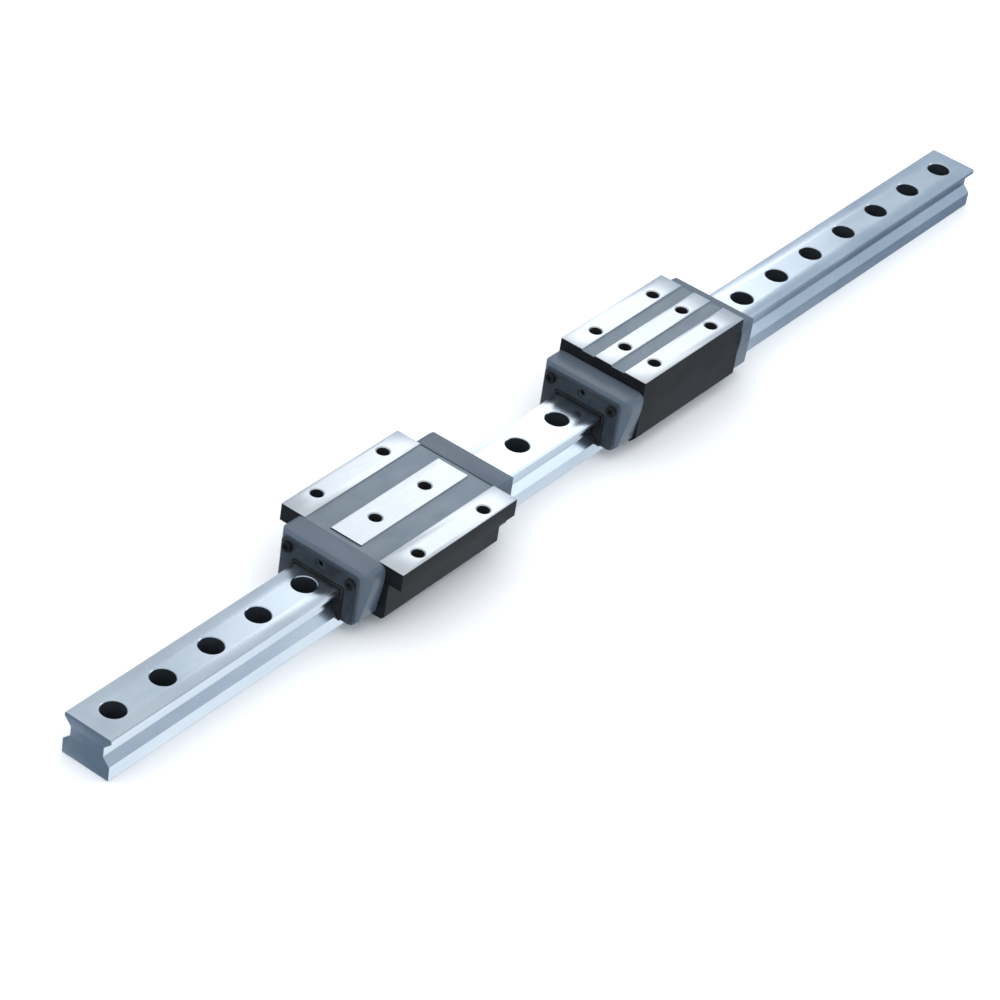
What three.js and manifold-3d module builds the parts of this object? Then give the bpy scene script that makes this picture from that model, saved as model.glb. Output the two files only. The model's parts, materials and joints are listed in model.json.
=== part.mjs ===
// A size 45 roller linear guide: one rail with counterbored holes, and two recirculating-roller
// carriages on it, a flanged one and a narrow high one. Millimetres, +X along the rail, +Z up.
// The origin is at the middle of the rail's base face.
import * as THREE from "three";
import { mergeVertices } from "three/addons/utils/BufferGeometryUtils.js";
import Module from "manifold-3d";

const wasm = await Module();
wasm.setup();

// Driving dimensions.
const RAIL = {
  length: 1155, width: 45, height: 38, edge: 1.1, baseEdge: 0.6,
  holes: 22, pitch: 52.5, boreRadius: 7, counterboreRadius: 10, counterboreDepth: 17,
};
const ROLLER = { diameter: 5.5, length: 6.5 };
const RACE = { midHeight: 23.5, rowGap: 10.6, depth: 6.5 };
const LOOP = { span: 17, cornerRadius: 5, outerLead: 7.3 };
const STEEL_HALF = 70;
const BLOCK = {
  bottom: 9.5, ceiling: 40.5, wallGap: 1.9, noseWidth: 0.6, pocket: 5.4, edge: 0.8, fillet: 1.5,
};
const CAP = {
  depth: 22.6, bottom: 9.5, footHalfWidth: 34.5, heel: 15, heelHalfWidth: 40, shoulder: 46, halfWidth: 44,
  top: 59.5, corner: 6, arch: 39.5, railGap: 0.8, wall: 2.2, rimHalfWidth: 45, rimDepth: 13,
  frontHalfWidth: 38.5, frontEdge: 2.5,
};
const GUIDE = { depth: 8.6, pocketGap: 0.4, pocketCeiling: 36.5 };
const PLATE = {
  thickness: 1.6, bottom: 10.5, footHalfWidth: 33.5, heel: 14.5, heelHalfWidth: 36.8, shoulder: 46,
  halfWidth: 37.5, top: 55.5, corner: 4, plugHole: 4,
};
const WIPER = {
  band: 6, bandDepth: 2.6, bandGap: 0.5, lip: 2.6, lipGap: 0.35, lipProud: 0.5, corner: 2, foot: 9.5,
};
const SCREW = { y: 31, z: 48, shank: 2.8, head: 4.5, headHeight: 2.4, grip: 12, hex: 1.9, hexDepth: 1.6 };
const PLUG = { z: 49, radius: 2.8, length: 7, hex: 1.6, hexDepth: 3, sunk: 0.5 };
const RETAINER = { near: 0.5, far: 1.6, low: 4.3, corner: 5, upperTip: 39, lowerTip: 36.6 };
const SLEEVE_RADIUS = 4.9;
const SEAL = { tip: 22.85, tipHeight: 9, toe: 24.4, bottom: 7.6, heel: 34, root: 24.2 };
const TAP = { radius: 5.25, depth: 15 };
const GAP = 0.3;
const RUNNING = 0.1;
const CHANNEL_CLEARANCE = 0.25;

// How far a cutter reaches past what it cuts, how near two points are one, and how finely round
// stretches are stepped.
const PAST = 1;
const WELD = 1e-4;
const CORNER_STEPS = 3;
const TURN_STEPS = 4;
const SIDES = { round: 12, smooth: 16, shank: 10, hexagon: 6 };

// The two carriages: where each stands, the block's outline and its pattern of tapped holes.
const CARRIAGES = [
  {
    name: "flanged", x: -231, top: 60, halfWidth: 60, bodyHalfWidth: 48, flangeThickness: 16,
    chamfer: { width: 3, height: 3 }, land: [15.5, 36], grooveDepth: 1.2, landSetback: 5,
    taps: [{ y: 50, spacing: 80 }, { y: 0, spacing: 60 }, { y: -50, spacing: 80 }],
  },
  {
    name: "narrow", x: 98.5, top: 70, halfWidth: 43, bodyHalfWidth: 43, flangeThickness: 0,
    chamfer: { width: 5, height: 5.5 }, land: [9, 21], grooveDepth: 1.2, landSetback: 0,
    taps: [{ y: 30, spacing: 80 }, { y: 0, spacing: 80 }, { y: -30, spacing: 80 }],
  },
];

// Derived raceway geometry, for the side with +Y. The rollers' axes lie at 45 degrees in the section.
const DIAGONAL = Math.SQRT1_2;
const HALF = RAIL.width / 2;
const ROW_Y = HALF - RACE.depth / 2 + (ROLLER.diameter / 2) * DIAGONAL;
const RACE_TOP = RACE.midHeight + RACE.rowGap / 2 + (ROLLER.diameter / 2) * DIAGONAL + RACE.depth / 2;
const RACE_BOTTOM = 2 * RACE.midHeight - RACE_TOP;
const WAIST = HALF - RACE.depth;

const FINISH = {
  ground: { color: 0xccd4dc, roughness: 0.3, metalness: 0.9 },
  blackened: { color: 0x6f7e8b, roughness: 0.5, metalness: 0.6 },
  plastic: { color: 0x3b444e, roughness: 0.45, metalness: 0 },
  inner: { color: 0x8a9096, roughness: 0.5, metalness: 0 },
  rubber: { color: 0x17181a, roughness: 0.7, metalness: 0 },
  plate: { color: 0x22262b, roughness: 0.4, metalness: 0.5 },
  roller: { color: 0xd5d9dd, roughness: 0.15, metalness: 1 },
  screw: { color: 0x1b1c1f, roughness: 0.4, metalness: 0.8 },
};

// ---- Solids -------------------------------------------------------------------------------

// A closed three.js geometry as a solid that can be cut and joined.
function solid(geometry) {
  const bare = new THREE.BufferGeometry();
  const separate = geometry.index ? geometry.toNonIndexed() : geometry;
  bare.setAttribute("position", separate.getAttribute("position"));
  const merged = mergeVertices(bare, WELD);
  return new wasm.Manifold(new wasm.Mesh({
    numProp: 3,
    vertProperties: merged.attributes.position.array,
    triVerts: new Uint32Array(merged.index.array),
  }));
}

// The largest connected piece of a solid as a geometry, without the slivers that cuts leave.
function geometryOf(body) {
  const pieces = body.decompose();
  const main = pieces.reduce((a, b) => (b.volume() > a.volume() ? b : a));
  const mesh = main.getMesh();
  const positions = new Float32Array(mesh.numVert * 3);
  for (let i = 0; i < mesh.numVert; i++) {
    positions.set(mesh.vertProperties.subarray(i * mesh.numProp, i * mesh.numProp + 3), i * 3);
  }
  const geometry = new THREE.BufferGeometry();
  geometry.setAttribute("position", new THREE.BufferAttribute(positions, 3));
  geometry.setIndex(new THREE.BufferAttribute(mesh.triVerts, 1));
  geometry.computeVertexNormals();
  return geometry;
}

function polygon(points) {
  return new THREE.Shape(points.map(([across, up]) => new THREE.Vector2(across, up)));
}

// A section drawn in (y, z), swept along X from one station to another.
function sweepX(shape, from, to) {
  const geometry = new THREE.ExtrudeGeometry(shape, { depth: to - from, bevelEnabled: false });
  const turn = new THREE.Matrix4().makeBasis(
    new THREE.Vector3(0, 1, 0), new THREE.Vector3(0, 0, 1), new THREE.Vector3(1, 0, 0));
  return geometry.applyMatrix4(turn).translate(from, 0, 0);
}

// An outline drawn in (x, y), standing from one height to another.
function prismZ(points, bottom, top) {
  return new THREE.ExtrudeGeometry(polygon(points), { depth: top - bottom, bevelEnabled: false })
    .translate(0, 0, bottom);
}

// An outline drawn in (x, z), reaching across to both sides.
function prismY(points, halfWidth) {
  return new THREE.ExtrudeGeometry(polygon(points), { depth: 2 * halfWidth, bevelEnabled: false })
    .rotateX(Math.PI / 2)
    .translate(0, halfWidth, 0);
}

function cylinderX(radius, from, to, y, z, sides = SIDES.round) {
  const geometry = new THREE.CylinderGeometry(radius, radius, to - from, sides);
  return geometry.rotateZ(Math.PI / 2).translate((from + to) / 2, y, z);
}

function cylinderZ(radius, bottom, top, x, y, sides = SIDES.round) {
  const geometry = new THREE.CylinderGeometry(radius, radius, top - bottom, sides);
  return geometry.rotateX(Math.PI / 2).translate(x, y, (bottom + top) / 2);
}

// Points for the +Y side, closed round by their mirror images.
function mirrored(half) {
  return [...half, ...half.map(([y, z]) => [-y, z]).reverse()];
}

// ---- Sections -----------------------------------------------------------------------------

// The rail's outline on the +Y side, moved outwards by a clearance, from the base up.
function railSide(clearance, bottom) {
  const slope = clearance * Math.tan(Math.PI / 8);
  return [
    [HALF + clearance, bottom],
    [HALF + clearance, RACE_BOTTOM + slope],
    [WAIST + clearance, RACE_BOTTOM + RACE.depth + slope],
    [WAIST + clearance, RACE_TOP - RACE.depth - slope],
    [HALF + clearance, RACE_TOP - slope],
  ];
}

function railSection() {
  return polygon(mirrored([
    [HALF - RAIL.baseEdge, 0],
    ...railSide(0, RAIL.baseEdge),
    [HALF, RAIL.height - RAIL.edge],
    [HALF - RAIL.edge, RAIL.height],
  ]));
}

// A saddle-shaped section: an outline given on the +Y side from its inner foot outwards and up,
// open underneath for the rail, with a clearance round the rail's own outline.
function saddle(outer, clearance, bottom, ceiling) {
  const inner = [...railSide(clearance, bottom), [HALF + clearance, ceiling]];
  return polygon(mirrored([...inner.reverse(), ...outer]));
}

// The outline of the end cap or the cover plate on the +Y side, inset by a margin.
function endOutline(form, inset = 0) {
  const width = form.halfWidth - inset;
  const top = form.top - inset;
  const corner = Array.from({ length: CORNER_STEPS + 1 }, (_, i) => {
    const angle = (i / CORNER_STEPS) * (Math.PI / 2);
    return [
      width - form.corner * (1 - Math.cos(angle)),
      top - form.corner * (1 - Math.sin(angle)),
    ];
  });
  return [
    [form.footHalfWidth - inset, form.bottom + inset],
    [form.heelHalfWidth - inset, form.heel + inset],
    [width, form.shoulder],
    ...corner,
  ];
}

// The block's section. Two noses reach into the rail's sides and carry the raceways.
function blockSection({ top, halfWidth, bodyHalfWidth, flangeThickness, chamfer, land, grooveDepth }) {
  const reach = (ROLLER.diameter / 2 + RUNNING) * Math.SQRT2;
  const raceway = (y) => ROW_Y - y + reach;
  const upperRow = RACE.midHeight + RACE.rowGap / 2;
  const nose = ROW_Y + reach - RACE.rowGap / 2 + BLOCK.noseWidth;
  const pocket = ROW_Y + BLOCK.pocket;
  const wall = HALF + BLOCK.wallGap;
  const rise = (y) => upperRow - raceway(y);
  const below = (z) => 2 * RACE.midHeight - z;
  const inner = [
    [wall, BLOCK.ceiling], [wall, rise(pocket) + pocket - wall], [pocket, rise(pocket)], [nose, rise(nose)],
    [nose, below(rise(nose))], [pocket, below(rise(pocket))],
    [wall, below(rise(pocket) + pocket - wall)], [wall, BLOCK.bottom],
  ];
  const underside = top - flangeThickness;
  const side = flangeThickness
    ? [[bodyHalfWidth, underside - BLOCK.fillet], [bodyHalfWidth + BLOCK.fillet, underside],
      [halfWidth - BLOCK.edge, underside], [halfWidth, underside + BLOCK.edge]]
    : [];
  const [landInner, landOuter] = land;
  const outer = [
    [bodyHalfWidth - chamfer.width, BLOCK.bottom], [bodyHalfWidth, BLOCK.bottom + chamfer.height],
    ...side, [halfWidth, top - BLOCK.edge], [halfWidth - BLOCK.edge, top],
    [landOuter + grooveDepth / 2, top], [landOuter, top - grooveDepth],
    [landInner, top - grooveDepth], [landInner - grooveDepth / 2, top],
  ];
  return polygon(mirrored([...inner, ...outer]));
}

// ---- Roller circuits ----------------------------------------------------------------------

// A closed circuit in its own plane: x along the rail, y from the loaded row to the return row.
function circuitOutline(halfLength, low, high, radius) {
  const path = new THREE.Shape();
  path.moveTo(-halfLength + radius, low);
  path.lineTo(halfLength - radius, low);
  path.absarc(halfLength - radius, low + radius, radius, -Math.PI / 2, 0, false);
  path.lineTo(halfLength, high - radius);
  path.absarc(halfLength - radius, high - radius, radius, 0, Math.PI / 2, false);
  path.lineTo(-halfLength + radius, high);
  path.absarc(-halfLength + radius, high - radius, radius, Math.PI / 2, Math.PI, false);
  path.lineTo(-halfLength, low + radius);
  path.absarc(-halfLength + radius, low + radius, radius, Math.PI, 1.5 * Math.PI, false);
  return path;
}

// One roller train, or the channel that it runs in when a clearance is given. The upper row's
// circuit turns inside the lower row's, which leads further out before it turns. Shrink thins the
// band a little, so that it runs clear of its raceway.
function circuit(row, side, clearance, shrink = 0) {
  const lead = row === "upper" ? 0 : LOOP.outerLead;
  const half = ROLLER.diameter / 2 + clearance - shrink;
  const centreHalf = STEEL_HALF + lead + LOOP.cornerRadius;
  const ring = circuitOutline(centreHalf + half, -half, LOOP.span + half, LOOP.cornerRadius + half);
  const hole = circuitOutline(centreHalf - half, half, LOOP.span - half, LOOP.cornerRadius - half);
  ring.holes.push(hole);
  const width = ROLLER.length + 2 * clearance;
  const geometry = new THREE.ExtrudeGeometry(ring, {
    depth: width, bevelEnabled: false, curveSegments: TURN_STEPS,
  });
  geometry.translate(0, 0, -width / 2);
  const rise = row === "upper" ? -DIAGONAL : DIAGONAL;
  const away = new THREE.Vector3(0, side * DIAGONAL, rise);
  const along = new THREE.Vector3(1, 0, 0);
  const place = new THREE.Matrix4().makeBasis(along, away, along.clone().cross(away));
  const height = RACE.midHeight + (row === "upper" ? 1 : -1) * (RACE.rowGap / 2);
  return geometry.applyMatrix4(place).translate(0, side * ROW_Y, height);
}

const ROWS = [];
for (const [sideName, side] of [["left", 1], ["right", -1]]) {
  for (const row of ["upper", "lower"]) ROWS.push({ row, side, label: `${row}_${sideName}` });
}

// Where a row's return passage crosses the section.
function returnCentre({ row, side }) {
  const shift = LOOP.span * DIAGONAL;
  const sign = row === "upper" ? 1 : -1;
  return [side * (ROW_Y + shift), RACE.midHeight + sign * (RACE.rowGap / 2 - shift)];
}

const CHANNEL = ROWS
  .map(({ row, side }) => solid(circuit(row, side, CHANNEL_CLEARANCE)))
  .reduce((a, b) => a.add(b));

// ---- Pieces of a carriage -----------------------------------------------------------------

// The cut that ends the middle land short of the block's end faces, as deep as the grooves.
function landEnds({ top, land, grooveDepth, landSetback }) {
  const [landInner] = land;
  const floor = top - grooveDepth;
  const section = polygon(mirrored([[landInner, floor], [landInner, top + PAST]]));
  return solid(sweepX(section, -STEEL_HALF - PAST, landSetback - STEEL_HALF))
    .add(solid(sweepX(section, STEEL_HALF - landSetback, STEEL_HALF + PAST)));
}

function block(spec) {
  let body = solid(sweepX(blockSection(spec), -STEEL_HALF, STEEL_HALF));
  if (spec.landSetback) body = body.subtract(landEnds(spec));
  for (const { y, spacing } of spec.taps) {
    for (const x of [-spacing / 2, spacing / 2]) {
      const floor = spec.top - TAP.depth;
      body = body.subtract(solid(cylinderZ(TAP.radius, floor, spec.top + PAST, x, y, SIDES.smooth)));
    }
  }
  for (const row of ROWS) {
    const [y, z] = returnCentre(row);
    const reach = STEEL_HALF + PAST;
    body = body.subtract(solid(cylinderX(SLEEVE_RADIUS + GAP, -reach, reach, y, z, SIDES.smooth)));
  }
  for (const y of [-SCREW.y, SCREW.y]) {
    for (const end of [-1, 1]) {
      const stations = [end * (STEEL_HALF - SCREW.grip - PAST), end * (STEEL_HALF + PAST)];
      stations.sort((a, b) => a - b);
      body = body.subtract(solid(cylinderX(SCREW.shank + GAP, ...stations, y, SCREW.z, SIDES.shank)));
    }
  }
  return geometryOf(body);
}

// The pieces at a carriage's end are made at its +X end; the -X end turns them half round.
const CAP_START = STEEL_HALF + GAP;
const CAP_FRONT = CAP_START + CAP.depth;
const PLATE_START = CAP_FRONT + GAP;
const PLATE_FRONT = PLATE_START + PLATE.thickness;

function screwHoles(from, to) {
  return [-1, 1]
    .map((side) => solid(cylinderX(SCREW.shank + GAP, from, to, side * SCREW.y, SCREW.z, SIDES.shank)))
    .reduce((a, b) => a.add(b));
}

function plugHole(radius, from, to) {
  return solid(cylinderX(radius, from, to, 0, PLUG.z));
}

// The cap's bevels: seen from above it narrows towards its front, and its top front edge is cut off.
function capBevels() {
  const back = CAP_START - PAST;
  const bend = CAP_START + CAP.rimDepth;
  const plan = [[back, CAP.rimHalfWidth], [bend, CAP.rimHalfWidth], [CAP_FRONT, CAP.frontHalfWidth]];
  const mirror = plan.map(([x, y]) => [x, -y]).reverse();
  const profile = [
    [back, CAP.bottom - PAST], [CAP_FRONT, CAP.bottom - PAST], [CAP_FRONT, CAP.top - CAP.frontEdge],
    [CAP_FRONT - CAP.frontEdge - PAST, CAP.top + PAST], [back, CAP.top + PAST],
  ];
  return solid(prismZ([...mirror, ...plan], CAP.bottom - PAST, CAP.top + PAST))
    .intersect(solid(prismY(profile, CAP.rimHalfWidth + PAST)));
}

// The cap is a shell: open at the back for the return guide, with a pocket in front for the wiper.
function endCap() {
  const guideEnd = CAP_START + GUIDE.depth + GAP;
  const wiperStart = CAP_FRONT - WIPER.bandDepth - GAP;
  const shell = saddle(endOutline(CAP), CAP.railGap, CAP.bottom, CAP.arch);
  const guidePocket = saddle(endOutline(CAP, CAP.wall), GUIDE.pocketGap, -PAST, GUIDE.pocketCeiling);
  const wiperPocket = saddle(wiperOuter(WIPER.band + GAP), WIPER.bandGap - GAP, -PAST, CAP.arch);
  const body = solid(sweepX(shell, CAP_START, CAP_FRONT))
    .intersect(capBevels())
    .subtract(solid(sweepX(guidePocket, CAP_START - PAST, guideEnd)))
    .subtract(CHANNEL)
    .subtract(solid(sweepX(wiperPocket, wiperStart, CAP_FRONT + PAST)))
    .subtract(screwHoles(CAP_START - PAST, CAP_FRONT + PAST))
    .subtract(plugHole(PLUG.radius + GAP, CAP_START - PAST, CAP_FRONT + PAST));
  return geometryOf(body);
}

// The return guide fills the cap's back pocket and holds the inner turns of the roller circuits.
function returnGuide() {
  const start = CAP_START + GAP;
  const end = CAP_START + GUIDE.depth;
  const inset = CAP.wall + GAP;
  const section = saddle(endOutline(CAP, inset), CAP.railGap, CAP.bottom + inset, CAP.arch);
  const body = solid(sweepX(section, start, end))
    .subtract(CHANNEL)
    .subtract(screwHoles(start - PAST, end + PAST))
    .subtract(plugHole(PLUG.radius + GAP, start - PAST, end + PAST));
  return geometryOf(body);
}

// The wiper's outline on the +Y side: a band of even width round the rail.
function wiperOuter(width) {
  const y = HALF + width;
  const top = RAIL.height + width;
  return [[y, WIPER.foot], [y, top - WIPER.corner], [y - WIPER.corner, top]];
}

// A rubber wiper: a band in the cap's front pocket, and a lip that stands out through the plate.
function wiper() {
  const { band, bandDepth, bandGap, lip, lipGap, lipProud, foot } = WIPER;
  const bandSection = saddle(wiperOuter(band), bandGap, foot, RAIL.height + bandGap);
  const lipSection = saddle(wiperOuter(lip), lipGap, foot, RAIL.height + lipGap);
  const bandFront = CAP_FRONT - RUNNING;
  const body = solid(sweepX(bandSection, CAP_FRONT - bandDepth, bandFront))
    .add(solid(sweepX(lipSection, bandFront - RUNNING, PLATE_FRONT + lipProud)));
  return geometryOf(body);
}

function coverPlate() {
  const outer = endOutline(PLATE);
  const [foot, ...rest] = wiperOuter(WIPER.lip + GAP);
  const inner = [[foot[0], PLATE.bottom], ...rest];
  const body = solid(sweepX(polygon(mirrored([...inner.reverse(), ...outer])), PLATE_START, PLATE_FRONT))
    .subtract(screwHoles(PLATE_START - PAST, PLATE_FRONT + PAST))
    .subtract(plugHole(PLATE.plugHole, PLATE_START - PAST, PLATE_FRONT + PAST));
  return geometryOf(body);
}

// A socket-head screw through plate, cap and guide into the block.
function screw(side) {
  const headStart = PLATE_FRONT + GAP;
  const tip = headStart + SCREW.headHeight;
  const y = side * SCREW.y;
  const shankEnd = headStart + SCREW.headHeight / 2;
  const body = solid(cylinderX(SCREW.shank, STEEL_HALF - SCREW.grip, shankEnd, y, SCREW.z, SIDES.shank))
    .add(solid(cylinderX(SCREW.head, headStart, tip, y, SCREW.z, SIDES.smooth)))
    .subtract(solid(cylinderX(SCREW.hex, tip - SCREW.hexDepth, tip + PAST, y, SCREW.z, SIDES.hexagon)));
  return geometryOf(body);
}

function greasePlug() {
  const front = CAP_FRONT - PLUG.sunk;
  const body = solid(cylinderX(PLUG.radius, front - PLUG.length, front, 0, PLUG.z))
    .subtract(solid(cylinderX(PLUG.hex, front - PLUG.hexDepth, front + PAST, 0, PLUG.z, SIDES.hexagon)));
  return geometryOf(body);
}

// A plastic strip that keeps one row of rollers in its raceway, along the block.
function retainer({ row, side }) {
  const upperRow = RACE.midHeight + RACE.rowGap / 2;
  const end = (ROLLER.length / 2 + CHANNEL_CLEARANCE) * Math.SQRT2;
  const guide = (y) => upperRow + ROW_Y + end - y;
  const near = HALF + RETAINER.near;
  const far = HALF + RETAINER.far;
  const low = ROW_Y + RETAINER.low;
  const corner = ROW_Y + RETAINER.corner;
  const tip = row === "upper" ? RETAINER.upperTip : RETAINER.lowerTip;
  const section = [
    [near, guide(near)], [low, guide(low)], [corner, guide(low) + corner - low],
    [far, guide(low) + 2 * corner - low - far], [far, tip], [near, tip],
  ];
  const flip = (z) => (row === "upper" ? z : 2 * RACE.midHeight - z);
  return sweepX(polygon(section.map(([y, z]) => [side * y, flip(z)])), -STEEL_HALF + GAP, STEEL_HALF - GAP);
}

// A plastic sleeve in the block's return bore, with a slanted rectangular passage for the rollers.
function returnSleeve(rowSpec) {
  const [y, z] = returnCentre(rowSpec);
  const from = -STEEL_HALF + GAP;
  const to = STEEL_HALF - GAP;
  const body = solid(cylinderX(SLEEVE_RADIUS, from, to, y, z, SIDES.smooth)).subtract(CHANNEL);
  return geometryOf(body);
}

// A thin strip with a lip, closing the gap under the block beside the rail.
function bottomSeal(side) {
  const top = BLOCK.bottom - GAP;
  const section = [
    [SEAL.tip, SEAL.tipHeight], [SEAL.toe, SEAL.bottom], [SEAL.heel, SEAL.bottom],
    [SEAL.heel, top], [SEAL.root, top],
  ];
  return sweepX(polygon(section.map(([y, z]) => [side * y, z])), -STEEL_HALF, STEEL_HALF);
}

// ---- Assembly -----------------------------------------------------------------------------

function named(name, geometry, finish) {
  const mesh = new THREE.Mesh(geometry, new THREE.MeshStandardMaterial(FINISH[finish]));
  mesh.name = name;
  return mesh;
}

function rail() {
  let body = solid(sweepX(railSection(), -RAIL.length / 2, RAIL.length / 2));
  for (let i = 0; i < RAIL.holes; i++) {
    const x = (i - (RAIL.holes - 1) / 2) * RAIL.pitch;
    const floor = RAIL.height - RAIL.counterboreDepth;
    body = body
      .subtract(solid(cylinderZ(RAIL.boreRadius, -PAST, floor + PAST, x, 0)))
      .subtract(solid(cylinderZ(RAIL.counterboreRadius, floor, RAIL.height + PAST, x, 0)));
  }
  return named("rail", geometryOf(body), "ground");
}

// The plates, seals and screws at one end. The front end faces -X.
function carriageEnd(prefix, front) {
  const end = new THREE.Group();
  const label = `${prefix}_${front ? "front" : "rear"}`;
  end.rotation.z = front ? Math.PI : 0;
  end.add(named(`${label}_return_guide`, returnGuide(), "inner"));
  end.add(named(`${label}_end_cap`, endCap(), "plastic"));
  end.add(named(`${label}_wiper`, wiper(), "rubber"));
  end.add(named(`${label}_cover_plate`, coverPlate(), "plate"));
  end.add(named(`${label}_grease_plug`, greasePlug(), "screw"));
  const turned = front ? -1 : 1;
  end.add(named(`${label}_screw_left`, screw(turned), "screw"));
  end.add(named(`${label}_screw_right`, screw(-turned), "screw"));
  return end;
}

function carriage(spec) {
  const group = new THREE.Group();
  group.position.x = spec.x;
  group.add(named(`${spec.name}_block`, block(spec), "blackened"));
  for (const row of ROWS) {
    const train = circuit(row.row, row.side, 0, RUNNING / 2);
    group.add(named(`${spec.name}_roller_train_${row.label}`, train, "roller"));
    group.add(named(`${spec.name}_roller_retainer_${row.label}`, retainer(row), "inner"));
    group.add(named(`${spec.name}_return_sleeve_${row.label}`, returnSleeve(row), "inner"));
  }
  for (const [sideName, side] of [["left", 1], ["right", -1]]) {
    group.add(named(`${spec.name}_bottom_seal_${sideName}`, bottomSeal(side), "rubber"));
  }
  group.add(carriageEnd(spec.name, true), carriageEnd(spec.name, false));
  return group;
}

const guide = new THREE.Group();
guide.add(rail());
for (const spec of CARRIAGES) guide.add(carriage(spec));

export default guide;
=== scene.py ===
"""The looks of a roller linear guide: one rail with a flanged and a narrow carriage.

Sections are drawn in millimetres, as (y, z), and swept along the rail, which is X.
"""
import json
import math

import bmesh
import bpy
from mathutils import Matrix, Quaternion, Vector


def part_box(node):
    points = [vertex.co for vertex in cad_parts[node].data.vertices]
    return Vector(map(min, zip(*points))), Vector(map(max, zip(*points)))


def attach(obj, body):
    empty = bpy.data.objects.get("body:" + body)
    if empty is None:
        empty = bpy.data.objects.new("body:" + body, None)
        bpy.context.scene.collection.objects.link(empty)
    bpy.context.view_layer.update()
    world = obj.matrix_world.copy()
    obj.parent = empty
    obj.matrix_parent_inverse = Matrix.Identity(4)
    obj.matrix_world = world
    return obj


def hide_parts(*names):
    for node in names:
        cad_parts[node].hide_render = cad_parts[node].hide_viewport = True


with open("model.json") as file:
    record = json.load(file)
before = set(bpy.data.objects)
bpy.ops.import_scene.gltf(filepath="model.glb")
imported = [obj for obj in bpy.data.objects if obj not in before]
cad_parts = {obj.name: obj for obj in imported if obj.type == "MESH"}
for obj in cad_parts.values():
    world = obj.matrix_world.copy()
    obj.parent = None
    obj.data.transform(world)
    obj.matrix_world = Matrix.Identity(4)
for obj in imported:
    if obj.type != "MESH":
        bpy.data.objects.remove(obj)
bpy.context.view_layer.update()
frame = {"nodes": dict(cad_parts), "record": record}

MM = 0.001

# ---- Sizes that the boxes of the CAD nodes don't give, in millimetres ---------------------------

RAIL = {
    "race_middle": 23.5, "race_depth": 6.5, "edge": 1.1, "base_edge": 0.6, "end_edge": 0.5,
    "root_radius": 1.2, "base_radius": 0.2, "race_radius": 0.5, "top_radius": 0.25,
}
RAIL_HOLE = {
    "count": 22, "pitch": 52.5, "bore": 7.0, "counterbore": 10.0, "depth": 17.0, "chamfer": 0.6, "ease": 0.4,
    "wall_margin": 0.05,
}
ROLLER = {"diameter": 5.4, "length": 6.3, "gap": 0.12, "edge": 0.35}
RACE = {"row_gap": 10.6, "diagonal": math.sqrt(0.5), "nominal": 5.5, "running": 0.1}
LOOP = {"span": 17.0, "corner": 5.0, "outer_lead": 7.3}
BLOCK = {
    "ceiling": 40.5, "wall": 1.9, "nose": 0.6, "pocket": 5.4, "edge": 0.5, "sleeve": 5.2,
    "roof_radius": 2.0, "shelf_radius": 0.4, "nose_radius": 0.3, "foot_radius": 0.8, "flange_radius": 2.5,
    "groove_lip": 0.2, "groove_root": 0.35,
}
TOP_FACES = {"land_up": 0.5, "groove_up": 0.3, "reach": 0.5}
TAP = {
    "core": 5.25, "major": 6.0, "depth": 15.0, "pitch": 1.75, "chamfer": 0.7, "crest": (0.42, 0.58),
    "flat": 0.1, "mouth": 0.3, "run_in": 2.0, "point": 0.4, "point_drop": 0.3, "point_rise": 0.6,
}
CARRIAGES = {
    "flanged": {
        "body": 48.0, "flange": 16.0, "chamfer": (3.0, 3.0), "land": (15.5, 36.0), "groove": 1.2,
        "middle_end": 5.0, "taps": [(50.0, 80.0), (0.0, 60.0), (-50.0, 80.0)],
    },
    "narrow": {
        "body": 43.0, "flange": 0.0, "chamfer": (5.0, 5.5), "land": (9.0, 21.0), "groove": 1.2,
        "middle_end": 0.0, "taps": [(30.0, 80.0), (0.0, 80.0), (-30.0, 80.0)],
    },
}
CAP = {
    "bottom": 9.5, "foot": 34.5, "heel": (40.0, 15.0), "shoulder": 46.0, "half_width": 44.0, "top": 59.5,
    "corner": 6.0, "arch": 39.5, "rail_gap": 0.8, "wall": 2.2, "rim": 45.0, "rim_depth": 13.0,
    "front": 38.5, "front_edge": 2.5, "edge": 1.4, "guide_depth": 8.9, "pocket_gap": 0.4,
    "pocket_ceiling": 36.5, "bend_radius": 9.0, "front_radius": 3.0, "profile_radius": 1.5,
}
PLATE = {
    "bottom": 10.5, "foot": 33.5, "heel": (36.8, 14.5), "shoulder": 46.0, "half_width": 37.5, "top": 55.5,
    "corner": 4.0, "edge": 0.35, "plug_hole": 4.0, "cut": 4.0,
}
WIPER = {
    "band": 6.0, "band_gap": 0.5, "lip": 2.6, "lip_gap": 0.35, "corner": 2.0, "foot": 9.5, "depth": 2.6,
    "running": 0.1, "lap": 0.2, "edge": 0.25,
}
SCREW = {
    "y": 31.0, "z": 48.0, "shank": 2.8, "head": 4.5, "hex": 2.2, "hex_depth": 1.7, "hole": 3.1, "bore": 14.0,
    "point": 0.8, "head_round": 0.6, "head_step": 0.15, "head_angles": (0.0, 0.4, 0.8, 1.2, math.pi / 2),
    "thread_start": 1.2, "thread_length": 10.0, "thread_pitch": 0.8, "thread_depth": 0.35,
}
SOCKET = {"floor_radius": 0.2, "floor_drop": 0.5, "lip": 0.35, "lip_drop": 0.25, "lip_rise": 0.1}
PLUG = {"z": 49.0, "radius": 2.8, "hex": 1.6, "hex_depth": 2.2, "hole": 3.1, "tip": 0.6, "rim": 0.4}
SEAL = {
    "outline": [(22.85, 9.0), (24.4, 7.6), (34.0, 7.6), (34.0, 9.2), (24.2, 9.2)],
    "radii": [0.15, 0.4, 0.3, 0.2, 0.2], "end_edge": 0.2,
}
GAP = 0.3
PAST = 1.0
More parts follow.
